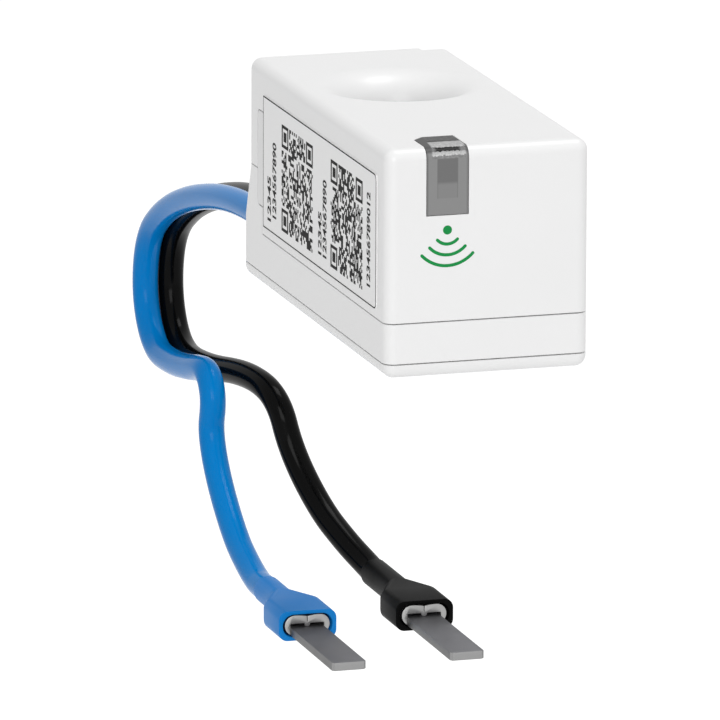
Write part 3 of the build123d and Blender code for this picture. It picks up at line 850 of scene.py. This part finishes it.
class Face(Enum):
    """Printed faces of the housing: how a print's own axes lie on each, and where the face is."""

    LEFT = ((0, -1, 0), (0, 0, 1), (-1, 0, 0))
    LEFT_UPWARD = ((0, 0, 1), (0, 1, 0), (-1, 0, 0))
    FRONT = ((1, 0, 0), (0, 0, 1), (0, -1, 0))

    def at(self, place: Point) -> Matrix:
        """Returns the placement of a print at a point of the face."""
        turned = Matrix(self.value).transposed().to_4x4()
        return Matrix.Translation(Vector(place)) @ turned


@dataclass
class CodePatch:
    """One square patch of the sticker's pattern, whose cells are drawn at random and encode nothing."""

    name: str
    middle: Place
    seed: int
    side: float = 8.54
    cells: int = 33
    mark_reach: float = 3.0
    dot_reach: float = 1.5
    margin_reach: float = 4.5
    bare_share: float = 0.47
    tolerance: float = 0.1

    def tree(self) -> bpy.types.NodeTree:
        """Builds the geometry nodes that lay out the cells.

        Returns:
            The tree, with named inputs for the cell size, the count, the seed and the ink.
        """
        name = "code_cells"
        if name in bpy.data.node_groups:
            return bpy.data.node_groups[name]
        tree = bpy.data.node_groups.new(name, "GeometryNodeTree")
        sockets = [
            ("Cell", "NodeSocketFloat"), ("Cells", "NodeSocketInt"), ("Seed", "NodeSocketInt"),
            ("Height", "NodeSocketFloat"), ("Ink", "NodeSocketMaterial"),
        ]
        tree.interface.new_socket(name="Geometry", in_out="OUTPUT", socket_type="NodeSocketGeometry")
        for label, kind in sockets:
            tree.interface.new_socket(name=label, in_out="INPUT", socket_type=kind)
        kit = Nodes(tree)
        given = kit.add("NodeGroupInput").outputs
        last = kit.math("SUBTRACT", given["Cells"], 1.0)
        span = kit.math("MULTIPLY", last, given["Cell"])
        grid = kit.add(
            "GeometryNodeMeshGrid",
            {"Size X": span, "Size Y": span, "Vertices X": given["Cells"], "Vertices Y": given["Cells"]},
        )
        spot = kit.parts(kit.add("GeometryNodeInputPosition").outputs[0])
        half = kit.math("MULTIPLY", last, 0.5)
        column, row = (
            kit.math("ROUND", kit.math("ADD", kit.math("DIVIDE", spot[axis], given["Cell"]), half))
            for axis in (0, 1)
        )
        near, far = self.mark_reach, kit.math("SUBTRACT", last, self.mark_reach)
        reach = None
        for corner_column, corner_row in ((near, far), (far, far), (near, near)):
            aside = kit.math("ABSOLUTE", kit.math("SUBTRACT", column, corner_column))
            above = kit.math("ABSOLUTE", kit.math("SUBTRACT", row, corner_row))
            ring = kit.math("MAXIMUM", aside, above)
            reach = ring if reach is None else kit.math("MINIMUM", reach, ring)
        outer = kit.math("COMPARE", reach, self.mark_reach, self.tolerance)
        centre = kit.math("LESS_THAN", reach, self.dot_reach)
        marks = kit.math("ADD", outer, centre)
        free = kit.math("GREATER_THAN", reach, self.margin_reach)
        chance = kit.add("FunctionNodeRandomValue", {"Seed": given["Seed"]}, data_type="FLOAT").outputs[1]
        drawn = kit.math("MULTIPLY", kit.math("GREATER_THAN", chance, self.bare_share), free)
        keep = kit.math("GREATER_THAN", kit.math("ADD", marks, drawn), 0.5)
        sides = {0: given["Cell"], 1: given["Cell"], 2: given["Height"]}
        size = kit.add("ShaderNodeCombineXYZ", sides).outputs[0]
        cell = kit.add("GeometryNodeMeshCube", {"Size": size}).outputs["Mesh"]
        laying = {"Points": grid.outputs["Mesh"], "Selection": keep, "Instance": cell}
        laid = kit.add("GeometryNodeInstanceOnPoints", laying).outputs[0]
        solid = kit.add("GeometryNodeRealizeInstances", {0: laid}).outputs[0]
        inked = kit.add("GeometryNodeSetMaterial", {"Geometry": solid, "Material": given["Ink"]}).outputs[0]
        end = kit.add("NodeGroupOutput")
        tree.links.new(inked, end.inputs[0])
        return tree

    def build(self) -> bpy.types.Object:
        """Lays out the patch on the sticker.

        Returns:
            The piece.
        """
        carrier = linked(self.name + "_carrier", bpy.data.meshes.new("carrier"))
        modifier = carrier.modifiers.new("cells", "NODES")
        modifier.node_group = self.tree()
        values = {
            "Cell": self.side / self.cells, "Cells": self.cells, "Seed": self.seed,
            "Height": 2 * INK_HEIGHT, "Ink": PRINT_BLACK.material(),
        }
        for item in modifier.node_group.interface.items_tree:
            if item.in_out == "INPUT":
                modifier[item.identifier] = values[item.name]
        place = Face.LEFT.at((LABEL_X, *self.middle))
        return add_piece(self.name, scaled(plain_mesh(carrier), place), PRINT_BLACK)


@dataclass
class Sticker:
    """Print on the left wall's sticker: outline, two coded patches and plain numbers."""

    front: float = -21.4
    rear: float = 9.4
    low: float = -3.9
    high: float = 6.7
    radius: float = 0.5
    line: float = 0.1
    rear_line: float = 0.06
    corner_steps: int = 6
    stroke_spread: float = 0.022
    curve_steps: int = 3
    patches: Sequence[tuple[str, Place, int]] = (
        ("code_patch_rear", (-0.04, 1.16), 7), ("code_patch_front", (-13.51, 1.16), 19),
    )
    numbers: Sequence[tuple[str, str, Place, float, float]] = (
        ("number_rear", "1234567890", (6.27, -2.6), 6.1, 1.05),
        ("number_rear_short", "12345", (7.7, -3.1), 3.6, 0.95),
        ("number_middle", "1234567890", (-7.6, -2.8), 6.2, 1.05),
        ("number_middle_short", "12345", (-6.3, -2.8), 3.4, 0.9),
        ("number_front", "123456789012", (-19.4, -2.5), 7.45, 0.95),
    )

    def outline(self) -> bpy.types.Object:
        """Draws the thin line round the sticker's edge.

        Returns:
            The piece.
        """
        model = bmesh.new()
        rims = []
        for inset, rear_inset in ((0.0, 0.0), (self.line, self.rear_line)):
            radius = self.radius - inset
            front, rear = self.front + inset, self.rear - rear_inset
            low, high = self.low + inset, self.high - inset
            rim = [(rear, low), (rear, high)]
            for turn, middle_z in ((1, high - radius), (2, low + radius)):
                for step in range(self.corner_steps + 1):
                    angle = (turn + step / self.corner_steps) * pi / 2
                    rim.append((front + radius + radius * cos(angle), middle_z + radius * sin(angle)))
            rims.append(rim)
        layers = [
            [[model.verts.new((x, y, z)) for y, z in rim] for rim in rims]
            for x in (LABEL_X + INK_HEIGHT, LABEL_X - INK_HEIGHT)
        ]
        count = len(rims[0])
        (under_out, under_in), (top_out, top_in) = layers
        round_section = (top_out, top_in, under_in, under_out, top_out)
        for index in range(count):
            after = (index + 1) % count
            for first, second in zip(round_section, round_section[1:]):
                model.faces.new((first[index], first[after], second[after], second[index]))
        mesh = mesh_of(model)
        mesh.transform(Matrix.Scale(MM, 4))
        return add_piece("label_outline", mesh, PRINT_BLACK)

    def number(self, name: str, text: str, start: Place, length: float, height: float) -> bpy.types.Object:
        """Sets a row of plain figures that reads upward.

        Args:
            name: Name of the piece.
            text: The figures.
            start: Middle of the row's lower end, as y and z.
            length: Length that the row fills.
            height: Height of the figures.

        Returns:
            The piece.
        """
        words = bpy.data.curves.new(name, "FONT")
        words.body = text
        words.extrude = INK_HEIGHT
        words.offset = self.stroke_spread
        words.resolution_u = self.curve_steps
        mesh = plain_mesh(linked(name + "_carrier", words))
        xs = [v.co.x for v in mesh.vertices]
        ys = [v.co.y for v in mesh.vertices]
        wide, tall = max(xs) - min(xs), max(ys) - min(ys)
        middle = Matrix.Translation((-min(xs), -(min(ys) + max(ys)) / 2, 0.0))
        fit = Matrix.Diagonal((length / wide, height / tall, 1.0, 1.0))
        place = Face.LEFT_UPWARD.at((LABEL_X, *start))
        return add_piece(name, scaled(mesh, place @ fit @ middle), PRINT_BLACK)

    def build(self) -> None:
        """Prints the sticker."""
        self.outline()
        for patch in self.patches:
            CodePatch(*patch).build()
        for row in self.numbers:
            self.number(*row)


@dataclass
class SignalSign:
    """Generic radio sign under the light guide: a dot with three arcs below it."""

    middle: Place = (-3.25, 2.54)
    dot_radius: float = 0.36
    arc_radii: Sequence[float] = (1.1, 1.95, 2.8)
    line: float = 0.25
    half_spread: float = 47.0
    steps: int = 24
    cap_steps: int = 6

    def build(self) -> bpy.types.Object:
        """Prints the sign.

        Returns:
            The piece.
        """
        turns = [2 * pi * step / self.steps for step in range(self.steps)]
        dot = [(self.dot_radius * cos(turn), self.dot_radius * sin(turn)) for turn in turns]
        model = bmesh.new()
        for outline in (dot, *(self.arc(radius) for radius in self.arc_radii)):
            mesh = extruded(outline, 2 * INK_HEIGHT, 0.0)
            model.from_mesh(mesh)
            bpy.data.meshes.remove(mesh)
        place = Face.FRONT.at((self.middle[0], FRONT_Y + INK_HEIGHT, self.middle[1]))
        return add_piece("signal_sign", scaled(mesh_of(model), place), PRINT_GREEN)

    def arc(self, radius: float) -> list[Place]:
        """Returns the outline of one arc with round ends.

        Args:
            radius: Radius of its middle line.

        Returns:
            The points round it.
        """
        points = []
        start = radians(270 - self.half_spread)
        turn = radians(2 * self.half_spread)
        for side in (1, -1):
            reach = radius + side * self.line / 2
            for step in range(self.steps + 1):
                share = step / self.steps if side == 1 else 1 - step / self.steps
                angle = start + share * turn
                points.append((reach * cos(angle), reach * sin(angle)))
            cap_angle = start + turn if side == 1 else start
            cap = Vector((radius * cos(cap_angle), radius * sin(cap_angle)))
            for step in range(1, self.cap_steps):
                angle = cap_angle + pi * step / self.cap_steps + (0 if side == 1 else pi)
                points.append((cap.x + self.line / 2 * cos(angle), cap.y + self.line / 2 * sin(angle)))
        return points


@dataclass
class Plug:
    """Moulded boot, crimp barrel and flat blade at the end of a lead, with z towards the blade's tip."""

    name: str
    rear: Point
    boot_finish: Finish
    boot_slot: str
    collar_radius: float
    collar_length: float
    collar_rise: float
    neck: float = 5.2
    taper: float = 3.0
    body: float = 4.4
    half_width: float = 2.41
    half_height: float = 1.225
    radius: float = 0.75
    rim_round: float = 0.05
    pocket_half_width: float = 2.07
    pocket_half_height: float = 0.925
    barrel_length: float = 3.2
    recess: float = 0.12
    barrel_half_width: float = 1.87
    barrel_half_height: float = 0.825
    dip: Sequence[Place] = ((0.8, 0.0), (0.55, 0.02), (0.3, 0.06), (0.12, 0.085), (0.03, 0.12))
    seam_depth: float = 0.55
    nib_half_width: float = 0.22
    nib_gap: float = 0.02
    inner_round: float = 0.1
    barrel_bevel: float = 0.03
    blade_half_width: float = 1.4
    blade_thickness: float = 0.68
    blade_exposed: float = 11.6
    blade_corner: float = 0.2
    blade_bevel: float = 0.05
    flat_limit: float = 0.8
    corner_steps: int = 8
    side_steps: int = 12
    crease: float = 28.0
    taper_shares: Sequence[float] = (0.04, 0.12, 0.3, 0.5, 0.7, 0.88, 0.96)

    @property
    def front(self) -> float:
        """Distance from the boot's rear to its front."""
        return self.neck + self.taper + self.body

    def ring(self, half_width: float, half_height: float, radius: float, along: float) -> list[Vector]:
        """Returns one rounded ring of the boot, raised where the collar is.

        Args:
            half_width: Half of its width.
            half_height: Half of its height.
            radius: Corner radius.
            along: Its distance from the boot's rear.

        Returns:
            Its points.
        """
        outline = rounded_outline(half_width, half_height, radius, self.corner_steps)
        rise = self.collar_rise * min(1.0, max(0.0, 1 - (along - self.neck) / self.taper))
        return [Vector((x, y + rise, along)) for x, y in outline]

    def boot(self) -> bpy.types.Object:
        """Makes the boot: round collar, straight taper, rounded block and the pocket for the barrel.

        Returns:
            The piece.
        """
        collar, wide, tall = self.collar_radius, self.half_width, self.half_height
        lip = self.rim_round
        start = self.neck - self.collar_length
        rings = [self.ring(collar - lip, collar - lip, collar - lip - lip, start)]
        for along in (start + lip, start + self.collar_length / 2, self.neck - 2 * lip):
            rings.append(self.ring(collar, collar, collar - lip / 2, along))
        for share in self.taper_shares:
            half_width = collar + (wide - collar) * share
            half_height = collar + (tall - collar) * share
            radius = collar - lip / 2 + (self.radius - collar + lip / 2) * share
            rings.append(self.ring(half_width, half_height, radius, self.neck + self.taper * share))
        rings.append(self.ring(wide, tall, self.radius, self.neck + self.taper + 2 * lip))
        for turn in (0.0, pi / 6, pi / 3, pi / 2):
            inset = lip * (1 - cos(turn))
            along = self.front - lip * (1 - sin(turn))
            rings.append(self.ring(wide - inset, tall - inset, self.radius - inset, along))
        pocket_width, pocket_height = self.pocket_half_width, self.pocket_half_height
        for turn in (0.0, pi / 4, pi / 2):
            mouth = lip * (1 - sin(turn))
            half_height = pocket_height + mouth
            along = self.front - lip * (1 - cos(turn))
            rings.append(self.ring(pocket_width + mouth, half_height, half_height - lip / 2, along))
        floor = self.front - self.barrel_length - self.recess
        rings.append(self.ring(pocket_width, pocket_height, pocket_height - lip / 2, floor))
        mesh = scaled(lofted(rings, self.crease), Face.FRONT.at(self.rear))
        piece = add_piece(self.name + "_boot_moulded", mesh, self.boot_finish)
        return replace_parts(piece, self.name + "_boot")

    def barrel_outline(self) -> list[Place]:
        """Returns the section of the crimp barrel: two wings that curl over the blade to a seam with a nib.

        Returns:
            The points round it.
        """
        wide, tall, hold = self.barrel_half_width, self.barrel_half_height, self.blade_half_width
        foot = -acos((hold - wide + tall) / tall)
        outer = []
        for step in range(self.side_steps + 1):
            turn = foot + step / self.side_steps * (pi / 2 - foot)
            outer.append((wide - tall + tall * cos(turn), tall * sin(turn)))
        outer += [(x, tall - depth) for x, depth in self.dip]
        outer.append((self.dip[-1][0], tall - self.seam_depth))
        roof = tall - self.blade_thickness
        nib_end = self.blade_thickness - tall + self.nib_gap
        soft, nib = self.inner_round, self.nib_half_width
        inner = [
            (nib - soft, nib_end), (nib, nib_end + soft), (nib, roof - soft / 2), (nib + soft / 2, roof),
            (hold - soft, roof), (hold - soft / 4, roof - soft / 4), (hold, roof - soft),
        ]
        mirrored = [[(-x, y) for x, y in half] for half in (outer, inner)]
        return outer + mirrored[0][::-1] + mirrored[1][::-1] + inner

    def ferrule(self) -> bpy.types.Object:
        """Makes the crimp barrel.

        Returns:
            The piece.
        """
        start = self.front - self.recess - self.barrel_length
        mesh = extruded(self.barrel_outline(), self.barrel_length, self.barrel_bevel)
        mesh = scaled(mesh, Face.FRONT.at(self.rear) @ Matrix.Translation((0, 0, start)))
        piece = add_piece(self.name + "_ferrule_rolled", mesh, FERRULE_TIN)
        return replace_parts(piece, self.name + "_ferrule")

    def blade(self) -> bpy.types.Object:
        """Makes the flat blade, whose sheared sides are brighter than its plated faces.

        Returns:
            The piece.
        """
        length = self.blade_exposed + self.recess + self.barrel_length
        half, corner = self.blade_half_width, self.blade_corner
        outline = [(-half, 0.0), (half, 0.0), (half, length - corner), (half - corner, length),
                   (corner - half, length), (-half, length - corner)]
        mesh = extruded(outline, self.blade_thickness, self.blade_bevel)
        rise = self.blade_thickness - self.barrel_half_height
        start = Matrix.Translation((0, rise, self.front + self.blade_exposed - length))
        mesh = scaled(mesh, Face.FRONT.at(self.rear) @ start @ Matrix.Rotation(pi / 2, 4, "X"))
        piece = add_piece(self.name + "_blade_plated", mesh, BLADE_TIN)
        mesh.materials.append(SHEARED_TIN.material())
        for face in mesh.polygons:
            face.material_index = int(abs(face.normal.z) < self.flat_limit)
        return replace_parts(piece, self.name + "_blade")

    def build(self) -> list[bpy.types.Object]:
        """Makes the three pieces of the plug and returns them."""
        return [self.boot(), self.ferrule(), self.blade()]


@dataclass
class Lead:
    """One insulated lead along its route, with its plug."""

    name: str
    outlet_x: float
    route: Sequence[Point]
    length: float
    jacket: Finish
    slot: str
    boot_finish: Finish
    boot_slot: str
    diameter: float = 2.15
    collar: Place = (1.15, 4.1)
    collar_rise: float = 0.12
    tuck: float = 1.8
    round_steps: int = 9
    bend_steps: int = 20

    def build(self) -> None:
        """Lays the lead, which runs on into the boot's collar by the tuck, and fits its plug."""
        outlet = Vector((self.outlet_x, OUTLET_Y, OUTLET_Z))
        points = [outlet + Vector(step) for step in self.route]
        rear = points[-1] - Vector((0.0, 0.0, self.collar_rise))
        points.append(points[-1] - Vector((0.0, self.tuck, 0.0)))
        curve = bpy.data.curves.new(self.name + "_cord", "CURVE")
        curve.dimensions = "3D"
        curve.bevel_depth = self.diameter / 2 * MM
        curve.bevel_resolution = self.round_steps
        curve.resolution_u = self.bend_steps
        curve.use_fill_caps = True
        spline = curve.splines.new("NURBS")
        spline.points.add(len(points) - 1)
        for target, point in zip(spline.points, points):
            target.co = (*(point * MM), 1.0)
        spline.order_u = 3
        spline.use_endpoint_u = True
        curve.materials.append(self.jacket.material())
        cord = linked(self.name + "_cord", curve)
        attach(cord, BODY)
        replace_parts(cord, self.name + "_lead")
        boot = (self.boot_finish, self.boot_slot, *self.collar, self.collar_rise)
        plug = Plug(self.name, tuple(rear), *boot).build()
        log.info("%s_cord: %d route points", self.name, len(points))


NEUTRAL_ROUTE: Sequence[Point] = (
    (0, 0, 0), (0, 8.6, 0), (0, 18.1, -0.7), (0, 28.1, -2.8), (0, 36.2, -5.5), (0, 41.9, -8.9),
    (0, 43.1, -14.4), (0, 39.8, -18.3), (0, 34.2, -18.2), (0, 29.4, -17.5), (0, 26.1, -16.8),
    (0, 24.0, -16.6), (0, 22.65, -17.45), (0, 22.1, -19.0), (0, 23.0, -21.5), (0, 20.6, -25.0),
    (0, 15.6, -28.7), (0, 11.8, -30.1), (0, 8.9, -30.8), (0, 7.4, -30.8),
)
PHASE_ROUTE: Sequence[Point] = (
    (0, 0, 0), (0, 8.6, 0), (0, 18.1, -0.7), (0, 28.1, -2.8), (0, 36.2, -5.5), (0, 41.9, -8.9),
    (0, 43.1, -14.4), (0, 39.8, -18.5), (0.1, 32.6, -18.3), (1.4, 23.9, -17.0), (2.4, 18.9, -18.0),
    (3.4, 18.4, -22.5), (4.95, 15.3, -26.7), (6.25, 12.1, -28.86), (7.2, 9.9, -30.1), (7.56, 8.6, -30.61),
    (7.56, 7.3, -30.61),
)


@dataclass
class Studio:
    """Pale floor, soft lamps, world and the camera of the photograph."""

    camera_place: Point = (-264.74, -865.77, 198.31)
    azimuth: float = -16.8158
    elevation: float = 13.1509
    roll: float = -0.1928
    lens: float = 589.16
    sensor: float = 36.0
    near_and_far: Place = (0.05, 30.0)
    floor_z: float = -85.0
    floor_half: float = 6000.0
    ambient: float = 0.53
    floor_grey: float = 0.8
    floor_lift: float = 0.5
    aim: Point = (0.0, 0.0, -10.0)
    lamps: Sequence[tuple[str, Point, Place, float]] = (
        ("softbox", (200, 0, 660), (300, 300), 1.5),
        ("key", (-260, -720, 230), (420, 420), 2.5),
    )

    def camera(self) -> None:
        """Places the camera as it stood for the photograph."""
        turn, rise, roll = radians(self.azimuth), radians(self.elevation), radians(self.roll)
        back = Vector((sin(turn) * cos(rise), -cos(turn) * cos(rise), sin(rise)))
        right = (-back).cross(Vector((0, 0, 1))).normalized()
        down = (-back).cross(right)
        across = right * cos(roll) + down * sin(roll)
        under = down * cos(roll) - right * sin(roll)
        data = bpy.data.cameras.new("photo_camera")
        data.lens = self.lens
        data.sensor_width = self.sensor
        data.clip_start, data.clip_end = self.near_and_far
        camera = linked("photo_camera", data)
        basis = Matrix((across, -under, back)).transposed()
        camera.matrix_world = Matrix.Translation(Vector(self.camera_place) * MM) @ basis.to_4x4()
        bpy.context.scene.camera = camera

    def seen(self, kit: Nodes) -> bpy.types.NodeSocket:
        """Tells the rays that show a surface to the camera, also in a reflection or through glass.

        Args:
            kit: Tree of the material or the world.

        Returns:
            The socket that is 1 for them.
        """
        rays = kit.add("ShaderNodeLightPath").outputs
        both = kit.math("ADD", rays["Is Camera Ray"], rays["Is Glossy Ray"])
        return kit.math("ADD", both, rays["Is Transmission Ray"], clamp=True)

    def world(self) -> None:
        """Lights the object evenly, and shows white to the camera and in reflections."""
        world = bpy.data.worlds.new("studio_world")
        kit = cleared(world)
        level = kit.math("ADD", kit.math("MULTIPLY", self.seen(kit), 1.0 - self.ambient), self.ambient)
        shade = kit.add("ShaderNodeBackground", {"Color": (1.0, 1.0, 1.0, 1.0), "Strength": level})
        kit.add("ShaderNodeOutputWorld", {"Surface": shade.outputs[0]})
        bpy.context.scene.world = world

    def floor(self) -> None:
        """Lays the pale floor, which keeps the object's shadow."""
        model = bmesh.new()
        bmesh.ops.create_grid(model, x_segments=2, y_segments=2, size=self.floor_half * MM)
        mesh = bpy.data.meshes.new("floor")
        model.to_mesh(mesh)
        model.free()
        mesh.transform(Matrix.Translation((0, 0, self.floor_z * MM)))
        material = bpy.data.materials.new("floor_white")
        kit = cleared(material)
        base = kit.add("ShaderNodeBsdfDiffuse", {"Color": rgba((self.floor_grey,) * 3)})
        lift = kit.math("MULTIPLY", self.seen(kit), self.floor_lift)
        glow = kit.add("ShaderNodeEmission", {"Color": (1.0, 1.0, 1.0, 1.0), "Strength": lift})
        both = kit.add("ShaderNodeAddShader", {0: base.outputs[0], 1: glow.outputs[0]})
        kit.add("ShaderNodeOutputMaterial", {"Surface": both.outputs[0]})
        mesh.materials.append(material)
        floor = linked("floor", mesh)

    def lamp(self, name: str, place: Point, size: Place, power: float) -> None:
        """Hangs one soft lamp that faces the object.

        Args:
            name: Name of the lamp.
            place: Where it hangs, in millimetres.
            size: Its width and height, in millimetres.
            power: Its power in watts.
        """
        data = bpy.data.lights.new(name, "AREA")
        data.shape = "RECTANGLE"
        data.size, data.size_y = size[0] * MM, size[1] * MM
        data.energy = power
        lamp = linked(name, data)
        lamp.location = Vector(place) * MM
        ray = Vector(self.aim) * MM - lamp.location
        lamp.rotation_mode = "QUATERNION"
        lamp.rotation_quaternion = ray.to_track_quat("-Z", "Y")

    def build(self) -> None:
        """Sets up the whole studio."""
        bpy.context.scene.view_settings.view_transform = "Standard"
        self.camera()
        self.world()
        self.floor()
        for lamp in self.lamps:
            self.lamp(*lamp)


def dress_nodes() -> None:
    """Gives every CAD node its finish."""
    for name, finish in NODE_FINISHES.items():
        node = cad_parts[name]
        node.data.materials.clear()
        node.data.materials.append(finish.material())
        log.info("%s dressed in %s", name, finish.name)


def main() -> None:
    """Builds the studio, the leads, the prints and the finishes."""
    logging.basicConfig(level=logging.INFO, format="%(message)s")
    Studio().build()
    Lead(
        "neutral", outlet_x=-4.3, route=NEUTRAL_ROUTE, length=93.8,
        jacket=LEAD_BLUE, slot="lead_blue", boot_finish=BOOT_BLUE, boot_slot="boot_blue",
    ).build()
    Lead(
        "phase", outlet_x=-2.1, route=PHASE_ROUTE, length=93.6,
        jacket=LEAD_BLACK, slot="lead_black", boot_finish=BOOT_BLACK, boot_slot="boot_black",
        collar=(1.18, 6.5), collar_rise=0.14,
    ).build()
    dress_nodes()
    Sticker().build()
    SignalSign().build()


if __name__ == "__main__":
    main()
